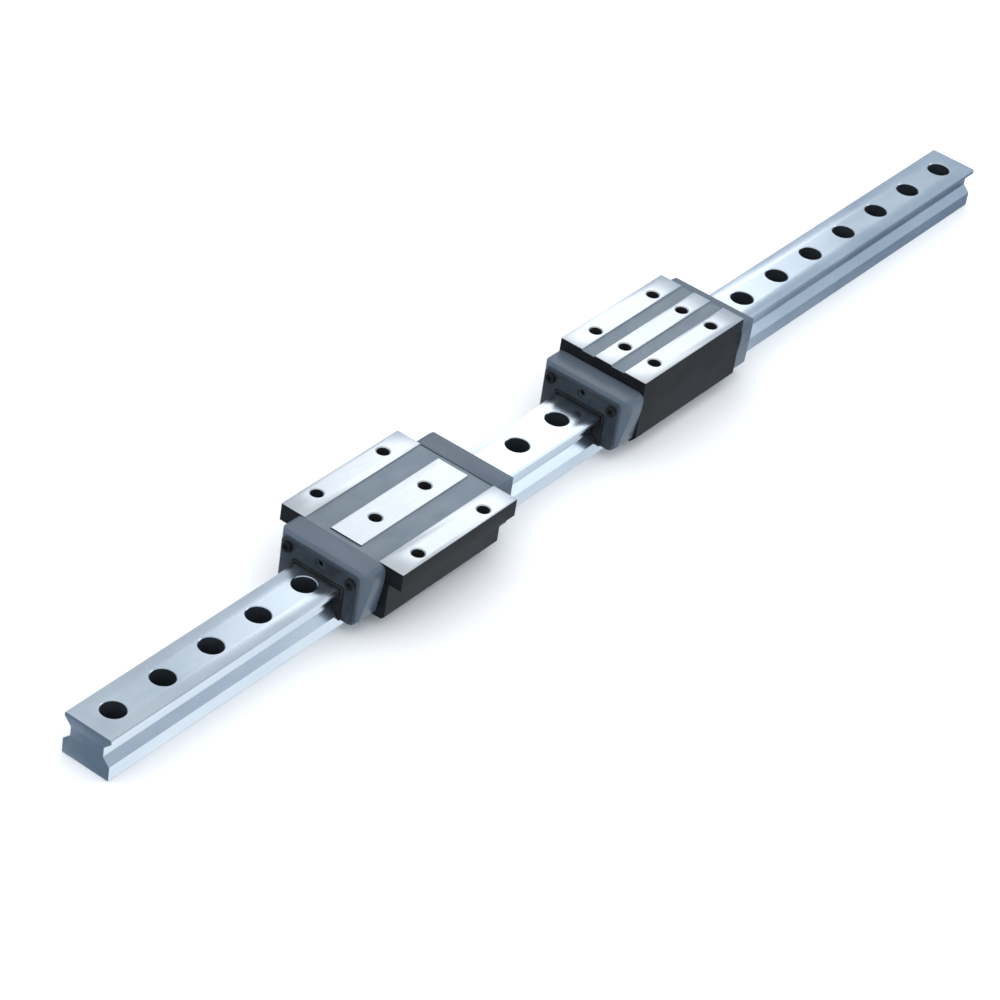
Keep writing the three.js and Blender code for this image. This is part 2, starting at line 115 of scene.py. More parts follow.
ARC_STEPS = 6
SIDES = {"finest": 64, "finer": 48, "fine": 40, "plain": 32, "coarse": 24, "roller": 20, "hexagon": 6}

# ---- The picture: camera and lights, in metres and degrees --------------------------------------

CAMERA = {
    "place": (-2.14178, -1.29996, 1.78057), "azimuth": -57.63, "elevation": 36.42, "roll": 9.40,
    "lens": 135.74, "reach": 50.0,
}
SENSOR = 36.0
SKY = {
    "low": (0.45, (0.60, 0.70, 0.82)), "high": (0.95, (1.0, 1.0, 1.0)), "strength": 0.95, "horizon": 0.04,
}
OVERHEAD = {"strength": 1.6, "angle": 150.0}
BELOW = [
    (0.25, (0.20, 0.26, 0.34)), (0.72, (1.45, 1.50, 1.55)),
    (0.85, (1.05, 1.12, 1.20)), (0.90, (0.24, 0.31, 0.42)),
]
PANELS = {
    "top_panel": {
        "place": (1.984, 1.273, 1.775), "aim": (-0.02, 0.0, 0.04), "turn": 45.0,
        "size": (0.92, 0.80), "power": 4.0,
    },
    "side_panel": {
        "place": (1.645, -1.66, 1.204), "aim": (0.0, 0.0, 0.02), "turn": -27.0,
        "size": (1.30, 0.50), "power": 2.9,
    },
}
FLOOR = {"size": 12.0, "drop": 0.0002, "colour": (0.97, 0.97, 0.97)}


# ---- Outlines -----------------------------------------------------------------------------------

def rounded(points, radii, steps=ARC_STEPS):
    """A closed outline with its corners turned into arcs. radii is one number or one for each corner."""
    count = len(points)
    radii = [radii] * count if isinstance(radii, (int, float)) else radii
    outline = []
    for i, (corner, radius) in enumerate(zip(points, radii)):
        here, before, after = Vector(corner), Vector(points[i - 1]), Vector(points[(i + 1) % count])
        back, ahead = before - here, after - here
        turn = back.angle(ahead)
        if radius <= 0 or turn > math.radians(178):
            outline.append(tuple(here))
            continue
        reach = min(radius / math.tan(turn / 2), 0.48 * back.length, 0.48 * ahead.length)
        radius = reach * math.tan(turn / 2)
        start, end = here + back.normalized() * reach, here + ahead.normalized() * reach
        centre = here + (back.normalized() + ahead.normalized()).normalized() * (radius / math.sin(turn / 2))
        spoke_a, spoke_b = start - centre, end - centre
        for k in range(steps + 1):
            share = k / steps
            spoke = spoke_a.lerp(spoke_b, share).normalized() * radius
            outline.append(tuple(centre + spoke))
    return outline


def mirrored(half):
    """Points of the +Y side, closed round by their mirror images."""
    return [*half, *[(-y, z) for y, z in reversed(half)]]


def inset(outline, distance):
    """The outline moved inwards by a small distance."""
    area = sum(a[0] * b[1] - b[0] * a[1] for a, b in zip(outline, outline[1:] + outline[:1]))
    side = 1 if area > 0 else -1
    moved = []
    for i, point in enumerate(outline):
        before, after = Vector(outline[i - 1]), Vector(outline[(i + 1) % len(outline)])
        here = Vector(point)
        first, second = (here - before).normalized(), (after - here).normalized()
        normal_a, normal_b = Vector((-first.y, first.x)), Vector((-second.y, second.x))
        share = max(1 + normal_a.dot(normal_b), 0.3)
        moved.append(tuple(here + (normal_a + normal_b) * (side * distance / share)))
    return moved


def rail_side(clearance, bottom):
    """The rail's outline on the +Y side, moved outwards by a clearance, from the base up."""
    slope = clearance * math.tan(math.pi / 8)
    half, waist = RAIL_HALF + clearance, RAIL_HALF - RAIL["race_depth"] + clearance
    low = RACE_BOTTOM + slope
    high = RACE_TOP - slope
    return [
        (half, bottom), (half, low), (waist, low + RAIL["race_depth"]),
        (waist, high - RAIL["race_depth"]), (half, high),
    ]


def saddle(outer, clearance, bottom, ceiling):
    """A section that stands over the rail: its outer outline on the +Y side, open underneath."""
    inner = [*rail_side(clearance, bottom), (RAIL_HALF + clearance, ceiling)]
    return mirrored([*reversed(inner), *outer])


def end_outline(form, margin=0.0, steps=10):
    """The outline of the end cap or the cover plate on the +Y side."""
    width, top, corner = form["half_width"] - margin, form["top"] - margin, form["corner"]
    arc = []
    for k in range(steps + 1):
        angle = k / steps * math.pi / 2
        arc.append((width - corner * (1 - math.cos(angle)), top - corner * (1 - math.sin(angle))))
    heel_y, heel_z = form["heel"]
    return [
        (form["foot"] - margin, form["bottom"] + margin), (heel_y - margin, heel_z + margin),
        (width, form["shoulder"]), *arc,
    ]


def wiper_outer(width):
    """A band of even width round the rail, on the +Y side."""
    y, top = RAIL_HALF + width, RAIL_HEIGHT + width
    return [(y, WIPER["foot"]), (y, top - WIPER["corner"]), (y - WIPER["corner"], top)]


# ---- Meshes -------------------------------------------------------------------------------------

def mesh_object(name, bm):
    """A new object from mesh data in millimetres."""
    bmesh.ops.recalc_face_normals(bm, faces=bm.faces)
    bmesh.ops.scale(bm, vec=(MM, MM, MM), verts=bm.verts)
    mesh = bpy.data.meshes.new(name)
    bm.to_mesh(mesh)
    bm.free()
    piece = bpy.data.objects.new(name, mesh)
    bpy.context.scene.collection.objects.link(piece)
    return piece


def add_rings(bm, rings):
    """Closes a row of equal rings of points into one solid."""
    made = [[bm.verts.new(point) for point in ring] for ring in rings]
    count = len(made[0])
    for first, second in zip(made, made[1:]):
        for k in range(count):
            bm.faces.new((first[k], first[(k + 1) % count], second[(k + 1) % count], second[k]))
    bm.faces.new(list(reversed(made[0])))
    bm.faces.new(made[-1])


def eased_stations(start, end, edge, steps=3):
    """Stations along X, each with the inset that rounds the end edges."""
    if edge <= 0:
        return [(start, 0.0), (end, 0.0)]
    angles = [k / steps * math.pi / 2 for k in range(steps + 1)]
    easing = [(edge * (1 - math.cos(angle)), edge * (1 - math.sin(angle))) for angle in angles]
    near = [(start + along, margin) for along, margin in easing]
    far = [(end - along, margin) for along, margin in reversed(easing)]
    return [*near, *far]


def sweep(bm, corners, start, end, edge=0.0, radii=0.0, steps=4):
    """A section swept along X, with its corners and its end edges rounded."""
    rings = []
    for x, margin in eased_stations(start, end, edge):
        ring = rounded(inset(corners, margin) if margin > 0 else corners, radii, steps)
        rings.append([(x, y, z) for y, z in ring])
    add_rings(bm, rings)


def swept(name, corners, start, end, edge=0.0, radii=0.0, steps=4):
    bm = bmesh.new()
    sweep(bm, corners, start, end, edge, radii, steps)
    return mesh_object(name, bm)


def turned(bm, profile, origin, axis, sides=SIDES["finest"]):
    """A profile of (radius, height) pairs turned about an axis through the origin, closed at both ends."""
    frame_of_axis = Vector(axis).to_track_quat("Z", "Y").to_matrix()
    rings = []
    for radius, height in profile:
        ring = []
        for k in range(sides):
            angle = 2 * math.pi * k / sides
            spoke = Vector((radius * math.cos(angle), radius * math.sin(angle), height))
            ring.append(tuple(Vector(origin) + frame_of_axis @ spoke))
        rings.append(ring)
    add_rings(bm, rings)


def applied(piece):
    """Makes a piece's modifiers part of its mesh."""
    bpy.context.view_layer.update()
    graph = bpy.context.evaluated_depsgraph_get()
    mesh = bpy.data.meshes.new_from_object(piece.evaluated_get(graph))
    piece.modifiers.clear()
    piece.data = mesh
    return piece


def boolean(piece, cutter, operation="DIFFERENCE"):
    modifier = piece.modifiers.new("boolean", "BOOLEAN")
    modifier.object = cutter
    modifier.operation = operation
    modifier.solver = "EXACT"
    applied(piece)
    bpy.data.objects.remove(cutter)
    return piece


def bevelled(piece, width, segments=3, angle=30.0):
    modifier = piece.modifiers.new("bevel", "BEVEL")
    modifier.width = width * MM
    modifier.segments = segments
    modifier.limit_method = "ANGLE"
    modifier.angle_limit = math.radians(angle)
    modifier.use_clamp_overlap = True
    modifier.harden_normals = False
    return applied(piece)


def smooth(piece, angle=32.0):
    """Smooth shading with sharp edges at steps over the angle. Faces of over four corners are split."""
    bm = bmesh.new()
    bm.from_mesh(piece.data)
    large = [face for face in bm.faces if len(face.verts) > 4]
    bmesh.ops.triangulate(bm, faces=large, quad_method="BEAUTY", ngon_method="EAR_CLIP")
    bm.to_mesh(piece.data)
    bm.free()
    piece.data.shade_smooth()
    piece.data.set_sharp_from_angle(angle=math.radians(angle))
    return piece


def placed_copy(source, name, turn, shift):
    """A copy of a piece turned about Z and moved along X, with the place in its mesh."""
    piece = bpy.data.objects.new(name, source.data.copy())
    piece.data.name = name
    piece.data.transform(Matrix.Translation((shift * MM, 0, 0)) @ Matrix.Rotation(turn, 4, "Z"))
    bpy.context.scene.collection.objects.link(piece)
    return piece


# ---- Materials ----------------------------------------------------------------------------------

class Shader:
    """A node material with one Principled shader, built by adding nodes to it."""

    def __init__(self, name, **constants):
        self.material = bpy.data.materials.new(name)
        self.material.use_nodes = True
        self.tree = self.material.node_tree
        self.surface = self.tree.nodes["Principled BSDF"]
        for key, value in constants.items():
            socket = self.surface.inputs[key.replace("_", " ")]
            socket.default_value = value

    def node(self, kind, settings=None, **inputs):
        made = self.tree.nodes.new(kind)
        for key, value in (settings or {}).items():
            setattr(made, key, value)
        for key, value in inputs.items():
            socket = made.inputs[key.replace("_", " ")]
            if isinstance(value, bpy.types.NodeSocket):
                self.tree.links.new(value, socket)
            else:
                socket.default_value = value
        return made

    def noise(self, scale, stretch=(1.0, 1.0, 1.0), detail=4.0, roughness=0.55):
        """Noise in the object's own space, in features per metre, stretched along its axes."""
        place = self.node("ShaderNodeTexCoord").outputs["Object"]
        mapping = self.node("ShaderNodeMapping", Vector=place)
        mapping.inputs["Scale"].default_value = stretch
        turned_place = mapping.outputs["Vector"]
        texture = self.node("ShaderNodeTexNoise", Vector=turned_place, Scale=scale, Detail=detail)
        texture.inputs["Roughness"].default_value = roughness
        return texture.outputs["Fac"]

    def between(self, factor, low, high, start=0.0, end=1.0):
        """A number that goes from low to high as the factor goes from start to end."""
        made = self.node("ShaderNodeMapRange", Value=factor)
        made.inputs["From Min"].default_value = start
        made.inputs["From Max"].default_value = end
        made.inputs["To Min"].default_value = low
        made.inputs["To Max"].default_value = high
        return made.outputs["Result"]

    def mix(self, factor, first, second, blend="MIX"):
        made = self.node("ShaderNodeMix", {"data_type": "RGBA", "blend_type": blend})
        for socket, value in ((made.inputs[0], factor), (made.inputs[6], first), (made.inputs[7], second)):
            if isinstance(value, bpy.types.NodeSocket):
                self.tree.links.new(value, socket)
            else:
                socket.default_value = (*value, 1.0) if isinstance(value, tuple) else value
        return made.outputs[2]

    def edges(self, radius, start=0.02, end=0.35):
        """1 on edges that stand out or turn within the radius, 0 on open faces."""
        bevel = self.node("ShaderNodeBevel", {"samples": 4}, Radius=radius * MM)
        plain = self.node("ShaderNodeNewGeometry").outputs["Normal"]
        same = self.node("ShaderNodeVectorMath", {"operation": "DOT_PRODUCT"})
        self.tree.links.new(bevel.outputs["Normal"], same.inputs[0])
        self.tree.links.new(plain, same.inputs[1])
        return self.between(same.outputs["Value"], 1.0, 0.0, 1.0 - end, 1.0 - start)

    def bump(self, height, strength, distance):
        made = self.node("ShaderNodeBump", Height=height, Strength=strength, Distance=distance * MM)
        self.tree.links.new(made.outputs["Normal"], self.surface.inputs["Normal"])

    def colour(self, socket):
        self.tree.links.new(socket, self.surface.inputs["Base Color"])

    def roughness(self, socket):
        self.tree.links.new(socket, self.surface.inputs["Roughness"])


GRIND_ALONG_X = (0.02, 1.0, 1.0)


def ground_steel(name, dark, light, rough):
    """Ground steel: fine lines along the rail, slight stains, and edges rubbed brighter."""
    shader = Shader(name, Metallic=1.0)
    lines = shader.noise(2600.0, GRIND_ALONG_X, detail=3.0, roughness=0.7)
    stains = shader.noise(38.0, (0.35, 1.0, 1.0), detail=5.0)
    tone = shader.mix(shader.between(stains, 0.0, 1.0, 0.3, 0.7), dark, light)
    tone = shader.mix(shader.between(lines, 0.0, 0.10, 0.35, 0.75), tone, (0.5, 0.54, 0.58))
    shader.colour(shader.mix(shader.edges(0.35), tone, (0.92, 0.94, 0.96)))
    spread = shader.between(stains, rough - 0.03, rough + 0.05, 0.3, 0.7)
    fine = shader.between(lines, -0.03, 0.05, 0.3, 0.7)
    total = shader.node("ShaderNodeMath", {"operation": "ADD"})
    shader.tree.links.new(spread, total.inputs[0])
    shader.tree.links.new(fine, total.inputs[1])
    shader.roughness(total.outputs["Value"])
    shader.bump(lines, 0.10, 0.02)
    return shader.material


def dark_coat_and_painted_shading(name, dark, light, rough, metallic, worn, specular=0.5):
    """Dark coated steel: a fine grain, cloudy tone and edges worn towards bare metal. It also makes painted
    shade and light: the near-black hole walls of the rail, and the lit and shaded copies of the block's
    coating.
    """
    shader = Shader(name, Metallic=metallic, Specular_IOR_Level=specular)
    grain = shader.noise(3200.0, detail=3.0, roughness=0.6)
    clouds = shader.noise(70.0, (0.5, 1.0, 1.0), detail=6.0)
    tone = shader.mix(shader.between(clouds, 0.0, 1.0, 0.32, 0.68), dark, light)
    patchy = shader.node("ShaderNodeMath", {"operation": "MULTIPLY"})
    shader.tree.links.new(shader.edges(0.5), patchy.inputs[0])
    shader.tree.links.new(shader.between(shader.noise(420.0), 0.0, 0.75, 0.4, 0.62), patchy.inputs[1])
    shader.colour(shader.mix(patchy.outputs["Value"], tone, worn))
    shader.roughness(shader.between(grain, rough - 0.06, rough + 0.08, 0.3, 0.7))
    shader.bump(grain, 0.12, 0.03)
    return shader.material


def moulded_plastic(name, dark, light, rough, specular, metallic=0.0):
    """Moulded plastic: a soft orange-peel surface, faint flow marks and slightly rubbed edges."""
    shader = Shader(name, Specular_IOR_Level=specular, Metallic=metallic)
    peel = shader.noise(520.0, detail=2.0, roughness=0.4)
    flow = shader.noise(45.0, (1.0, 0.4, 1.0), detail=5.0)
    tone = shader.mix(shader.between(flow, 0.0, 1.0, 0.3, 0.7), dark, light)
    rubbed = tuple(min(1.0, 1.6 * channel + 0.01) for channel in light)
    shader.colour(shader.mix(shader.between(shader.edges(0.6), 0.0, 0.6), tone, rubbed))
    shader.roughness(shader.between(peel, rough - 0.03, rough + 0.05, 0.3, 0.7))
    shader.bump(peel, 0.05, 0.02)
    return shader.material


def seal_rubber():
    """Matt black rubber with a dusty bloom in patches."""
    shader = Shader("seal_rubber_look", Specular_IOR_Level=0.35)
    grain = shader.noise(1800.0, detail=4.0)
    bloom = shader.noise(90.0, detail=6.0)
    dusty = shader.between(bloom, 0.0, 1.0, 0.45, 0.75)
    shader.colour(shader.mix(dusty, (0.010, 0.010, 0.011), (0.030, 0.031, 0.033)))
    shader.roughness(shader.between(grain, 0.52, 0.74, 0.3, 0.7))
    shader.bump(grain, 0.2, 0.03)
    return shader.material


def polished_steel():
    """Lapped bearing steel, with the faint rings that finishing leaves."""
    shader = Shader("roller_steel_look", Metallic=1.0)
    marks = shader.noise(4000.0, (1.0, 0.1, 0.1), detail=3.0)
    tone = shader.between(marks, 0.0, 1.0, 0.3, 0.7)
    shader.colour(shader.mix(tone, (0.70, 0.72, 0.75), (0.84, 0.86, 0.88)))
    shader.roughness(shader.between(marks, 0.08, 0.18, 0.3, 0.7))
    shader.bump(marks, 0.04, 0.01)
    return shader.material


LOOK = {
    "rail_steel": ground_steel("rail_steel_look", (0.50, 0.565, 0.63), (0.58, 0.64, 0.70), 0.21),
    "land": ground_steel("land_steel_look", (0.52, 0.55, 0.58), (0.62, 0.64, 0.66), 0.27),
    # groove and block_steel are one dark coating in two copies: the lighter, more metallic groove copy is
    # painted light on upward faces, the near-black block copy with little sheen is painted shade on the sides
    "groove": dark_coat_and_painted_shading(
        "groove_coating_painted_light_look", (0.145, 0.18, 0.215), (0.185, 0.22, 0.255), 0.42, 0.35, (0.3, 0.32, 0.34)),
    "block_steel": dark_coat_and_painted_shading(
        "block_coating_painted_shade_look", (0.008, 0.009, 0.010), (0.015, 0.016, 0.018), 0.46, 0.0,
        (0.07, 0.075, 0.08), 0.12),
    "cap_plastic": moulded_plastic(
        "cap_plastic_look", (0.078, 0.102, 0.132), (0.098, 0.124, 0.156), 0.30, 0.24),
    "guide_plastic": moulded_plastic(
        "guide_plastic_look", (0.30, 0.32, 0.34), (0.40, 0.42, 0.44), 0.45, 0.5),
    "seal_rubber": seal_rubber(),
    "plate_steel": dark_coat_and_painted_shading(
        "plate_steel_look", (0.024, 0.032, 0.042), (0.038, 0.047, 0.058), 0.36, 0.2, (0.16, 0.17, 0.18)),
    "roller_steel": polished_steel(),
    "screw_steel": dark_coat_and_painted_shading(
        "screw_steel_look", (0.012, 0.012, 0.014), (0.022, 0.022, 0.024), 0.34, 0.6, (0.20, 0.20, 0.21)),
    # bore: a near-black copy of the rail's steel for the walls and floors of its holes, painted shade in the
    # recesses rather than a finish of their own
    "bore": dark_coat_and_painted_shading(
        "hole_painted_shade_look", (0.030, 0.038, 0.048), (0.055, 0.066, 0.080), 0.45, 0.4, (0.12, 0.14, 0.16)),
}

# ---- Places from the frame ----------------------------------------------------------------------

BODY_OF = {node: body for body, nodes in frame["record"]["behaviour"]["bodies"].items() for node in nodes}
SLOT_OF = {part["node"]: part["material_slot"] for part in frame["record"]["subparts"]}


def box_mm(node):
    low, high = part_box(node)
    return [tuple(value / MM for value in corner) for corner in (low, high)]


RAIL_LOW, RAIL_HIGH = box_mm("rail")
RAIL_HALF = RAIL_HIGH[1]
RAIL_HEIGHT = RAIL_HIGH[2]
ROW_Y = RAIL_HALF - RAIL["race_depth"] / 2 + RACE["nominal"] / 2 * RACE["diagonal"]
ROW_TOP = RAIL["race_middle"] + RACE["row_gap"] / 2 + RACE["nominal"] / 2 * RACE["diagonal"]
RACE_TOP = ROW_TOP + RAIL["race_depth"] / 2
RACE_BOTTOM = 2 * RAIL["race_middle"] - RACE_TOP


def middle_of(carriage):
    low, high = box_mm(f"{carriage}_block")
    return (low[0] + high[0]) / 2


def stations_of(node, carriage="flanged"):
    """How far a node at the carriage's +X end starts and ends from the carriage's middle."""
    low, high = box_mm(node)
    middle = middle_of(carriage)
    return low[0] - middle, high[0] - middle


STEEL_HALF = stations_of("flanged_block")[1]
CAP_START, CAP_FRONT = stations_of("flanged_rear_end_cap")
PLATE_START, PLATE_FRONT = stations_of("flanged_rear_cover_plate")
WIPER_START, WIPER_FRONT = stations_of("flanged_rear_wiper")
SCREW_TIP, SCREW_FRONT = stations_of("flanged_rear_screw_left")
PLUG_START, PLUG_FRONT = stations_of("flanged_rear_grease_plug")


def finished(piece, node, look=None):
    """Gives a piece its look, and lets it stand for its CAD node and move with that node's body."""
    slot = SLOT_OF[node]
    if not piece.data.materials:
        piece.data.materials.append(LOOK[look or slot])
    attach(piece, BODY_OF[node])
    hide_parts(node)
    return piece


# ---- The rail -----------------------------------------------------------------------------------

def rail_outline():
    half, top, base = RAIL_HALF, RAIL_HEIGHT, RAIL["base_edge"]
    edge, root = RAIL["edge"], RAIL["root_radius"]
    base_radius, race, top_radius = RAIL["base_radius"], RAIL["race_radius"], RAIL["top_radius"]
    corners = [
        (half - base, 0.0), (half, base), *rail_side(0.0, base)[1:], (half, top - edge), (half - edge, top),
    ]
    radii = [base_radius, base_radius, race, root, root, race, top_radius, top_radius]
    return mirrored(corners), [*radii, *reversed(radii)]


def make_rail():
    start, end = RAIL_LOW[0], RAIL_HIGH[0]
    corners, radii = rail_outline()
    piece = swept("rail_bar", corners, start, end, RAIL["end_edge"], radii)
    bm = bmesh.new()
    floor = RAIL_HEIGHT - RAIL_HOLE["depth"]
    chamfer, ease = RAIL_HOLE["chamfer"], RAIL_HOLE["ease"]
    bore, counterbore = RAIL_HOLE["bore"], RAIL_HOLE["counterbore"]
    profile = [
        (bore + chamfer + PAST, -PAST), (bore + chamfer, 0.0), (bore, chamfer),
        (bore, floor - ease), (bore + ease, floor),
        (counterbore - ease, floor), (counterbore, floor + ease), (counterbore, RAIL_HEIGHT - chamfer),
        (counterbore + chamfer, RAIL_HEIGHT), (counterbore + chamfer + PAST, RAIL_HEIGHT + PAST),
    ]
    for i in range(RAIL_HOLE["count"]):
        x = (i - (RAIL_HOLE["count"] - 1) / 2) * RAIL_HOLE["pitch"]
        turned(bm, profile, (x, 0, 0), (0, 0, 1))
    boolean(piece, mesh_object("rail_hole_cutter", bm))
    piece.data.materials.append(LOOK["rail_steel"])
    piece.data.materials.append(LOOK["bore"])
    # Faces inside the holes take the bore look, which is painted shade for the recesses
    for face in piece.data.polygons:
        x, y, z = (value / MM for value in face.center)
        nearest = (round(x / RAIL_HOLE["pitch"] - 0.5) + 0.5) * RAIL_HOLE["pitch"]
        in_hole = math.hypot(x - nearest, y) < counterbore + RAIL_HOLE["wall_margin"]
        if in_hole and chamfer < z < RAIL_HEIGHT - chamfer:
            face.material_index = 1
    smooth(piece)
    return finished(piece, "rail")


# ---- The blocks ---------------------------------------------------------------------------------

def block_outline(spec, top, half_width, bottom):
    reach = (RACE["nominal"] / 2 + RACE["running"]) / RACE["diagonal"]
    middle = RAIL["race_middle"]
    upper = middle + RACE["row_gap"] / 2
    nose = ROW_Y + reach - RACE["row_gap"] / 2 + BLOCK["nose"]
    pocket, wall = ROW_Y + BLOCK["pocket"], RAIL_HALF + BLOCK["wall"]

    def rise(y):
        return upper - (ROW_Y - y + reach)

    def below(z):
        return 2 * middle - z

    shelf = rise(pocket) + pocket - wall
    inner = [
        (wall, BLOCK["ceiling"]), (wall, shelf), (pocket, rise(pocket)), (nose, rise(nose)),
        (nose, below(rise(nose))), (pocket, below(rise(pocket))), (wall, below(shelf)), (wall, bottom),
    ]
    shelf_radius, nose_radius = BLOCK["shelf_radius"], BLOCK["nose_radius"]
    inner_radii = [BLOCK["roof_radius"], shelf_radius, *[nose_radius] * 4, shelf_radius, shelf_radius]
    width, rise_of_chamfer = spec["chamfer"]
    body, under = spec["body"], top - spec["flange"]
    outer = [(body - width, bottom), (body, bottom + rise_of_chamfer)]
    radii = [BLOCK["foot_radius"], BLOCK["foot_radius"]]
    if spec["flange"]:
        outer += [(body, under), (half_width, under)]
        radii += [BLOCK["flange_radius"], BLOCK["edge"]]
    land_in, land_out = spec["land"]
    slope, floor = spec["groove"] / 2, top - spec["groove"]
    outer += [
        (half_width, top), (land_out + slope, top), (land_out, floor),
        (land_in, floor), (land_in - slope, top),
    ]
    lip, root = BLOCK["groove_lip"], BLOCK["groove_root"]
    radii += [BLOCK["edge"], lip, root, root, lip]
    all_radii = [*inner_radii, *radii]
    return mirrored([*inner, *outer]), [*all_radii, *reversed(all_radii)]


def tap_profile(top):
    """A tapped hole from its drill point up: V-shaped turns between the core and the major radius."""
    core, major, pitch, flat = TAP["core"], TAP["major"], TAP["pitch"], TAP["flat"]
    crest_start, crest_end = TAP["crest"]
    mouth = major + TAP["mouth"]
    bottom = top - TAP["depth"]
    profile = [(TAP["point"], bottom - TAP["point_drop"]), (core, bottom + TAP["point_rise"])]
    z = bottom + TAP["run_in"]
    while z + pitch < top - TAP["chamfer"]:
        profile += [(core, z), (major - flat, z + crest_start * pitch), (major - flat, z + crest_end * pitch)]
        z += pitch
    rim = [(core, z), (core + flat, top - TAP["chamfer"]), (mouth, top), (mouth + PAST, top + PAST)]
    return [*profile, *rim]


def block_faces(piece, top, groove):
    """Ground lands on top. The grooves between them take a lighter copy of the dark coating, painted light on
    faces that look up, and everything else a near-black copy of it, painted shade on the sides.
    """
    for look in ("block_steel", "land", "groove"):
        piece.data.materials.append(LOOK[look])
    reach = TOP_FACES["reach"]
    for face in piece.data.polygons:
        height, up = face.center.z / MM, face.normal.z
        if up > TOP_FACES["land_up"] and height > top - reach:
            face.material_index = 1
        elif up > TOP_FACES["groove_up"] and height > top - groove - reach:
            face.material_index = 2


def cut_taps(piece, spec, top, middle):
    bm = bmesh.new()
    for y, spacing in spec["taps"]:
        for side in (-1, 1):
            turned(bm, tap_profile(top), (middle + side * spacing / 2, y, 0), (0, 0, 1), SIDES["finer"])
    boolean(piece, mesh_object("tap_cutter", bm))


def cut_bores(piece, start, end, middle):
    """The four return bores and the screw holes in the block's ends."""
    bm = bmesh.new()
    shift = LOOP["span"] * RACE["diagonal"]
    through = [(BLOCK["sleeve"], 0.0), (BLOCK["sleeve"], end - start + 2 * PAST)]
    blind = [(SCREW["hole"], 0.0), (SCREW["hole"], SCREW["bore"])]
    for side in (-1, 1):
        for row in (-1, 1):
            height = RAIL["race_middle"] + row * (RACE["row_gap"] / 2 - shift)
            place = (start - PAST, side * (ROW_Y + shift), height)
            turned(bm, through, place, (1, 0, 0), SIDES["fine"])
        for face in (-1, 1):
            place = (middle + face * (STEEL_HALF + PAST), side * SCREW["y"], SCREW["z"])
            turned(bm, blind, place, (-face, 0, 0), SIDES["coarse"])
    boolean(piece, mesh_object("bore_cutter", bm))


def cut_land_ends(piece, spec, top, middle):
    """Ends the middle land short of the block's end faces."""
    bm = bmesh.new()
    land_in = spec["land"][0]
    floor, above = top - spec["groove"], top + PAST
    outline = [(-land_in, floor), (land_in, floor), (land_in, above), (-land_in, above)]
    for end in (-1, 1):
        edge = middle + end * STEEL_HALF
        sweep(bm, outline, *sorted((edge + end * PAST, edge - end * spec["middle_end"])))
    boolean(piece, mesh_object("land_end_cutter", bm))


def make_block(name):
    spec = CARRIAGES[name]
    node = f"{name}_block"
    low, high = box_mm(node)
    top, middle = high[2], middle_of(name)
    corners, radii = block_outline(spec, top, high[1], low[2])
    piece = swept(f"{name}_body", corners, low[0], high[0], BLOCK["edge"], radii)
    cut_taps(piece, spec, top, middle)
    cut_bores(piece, low[0], high[0], middle)
    if spec["middle_end"]:
        cut_land_ends(piece, spec, top, middle)
    block_faces(piece, top, spec["groove"])
    smooth(piece)
    return finished(piece, node)


# ---- The pieces at a carriage's end, made at the +X end of a carriage at the middle ---------------

def make_cap():
    shell = saddle(end_outline(CAP), CAP["rail_gap"], CAP["bottom"], CAP["arch"])
    cap = swept("cap_master", shell, CAP_START, CAP_FRONT)
    bend = CAP_START + CAP["rim_depth"]
    plan = [(CAP_START - PAST, CAP["rim"]), (bend, CAP["rim"]), (CAP_FRONT, CAP["front"])]
    corner_radii = [0, CAP["bend_radius"], CAP["front_radius"]]
    mirror = [(x, -y) for x, y in reversed(plan)]
    plan = rounded([*plan, *mirror], [*corner_radii, *reversed(corner_radii)], steps=10)
    bm = bmesh.new()
    add_rings(bm, [[(x, y, z) for x, y in plan] for z in (CAP["bottom"] - PAST, CAP["top"] + PAST)])
    boolean(cap, mesh_object("plan_cutter", bm), "INTERSECT")
    edge, top = CAP["front_edge"], CAP["top"]
    profile = [
        (CAP_START - PAST, CAP["bottom"] - PAST), (CAP_FRONT, CAP["bottom"] - PAST), (CAP_FRONT, top - edge),
        (CAP_FRONT - edge, top), (CAP_START - PAST, top),
    ]
    profile = rounded(profile, [0, 0, CAP["profile_radius"], CAP["profile_radius"], 0], steps=6)
    bm = bmesh.new()
    add_rings(bm, [[(x, y, z) for x, z in profile] for y in (-CAP["rim"] - PAST, CAP["rim"] + PAST)])
    boolean(cap, mesh_object("side_cutter", bm), "INTERSECT")
    bevelled(cap, CAP["edge"])
    pocket = saddle(end_outline(CAP, CAP["wall"]), CAP["pocket_gap"], -PAST, CAP["pocket_ceiling"])
    boolean(cap, swept("guide_pocket", pocket, CAP_START - PAST, CAP_START + CAP["guide_depth"]))
    boolean(cap, circuit_channels())
    recess = saddle(wiper_outer(WIPER["band"] + GAP), WIPER["band_gap"] - GAP, -PAST, CAP["arch"])
    boolean(cap, swept("wiper_pocket", recess, CAP_FRONT - WIPER["depth"] - GAP, CAP_FRONT + PAST))
    bm = bmesh.new()
    length = CAP_FRONT - CAP_START + 2 * PAST
    start = CAP_START - PAST
    for side in (-1, 1):
        screw_profile = [(SCREW["hole"], 0.0), (SCREW["hole"], length)]
        turned(bm, screw_profile, (start, side * SCREW["y"], SCREW["z"]), (1, 0, 0), SIDES["coarse"])
    plug_profile = [(PLUG["hole"], 0.0), (PLUG["hole"], length)]
    turned(bm, plug_profile, (start, 0, PLUG["z"]), (1, 0, 0), SIDES["plain"])
    boolean(cap, mesh_object("cap_hole_cutter", bm))
    return smooth(cap)


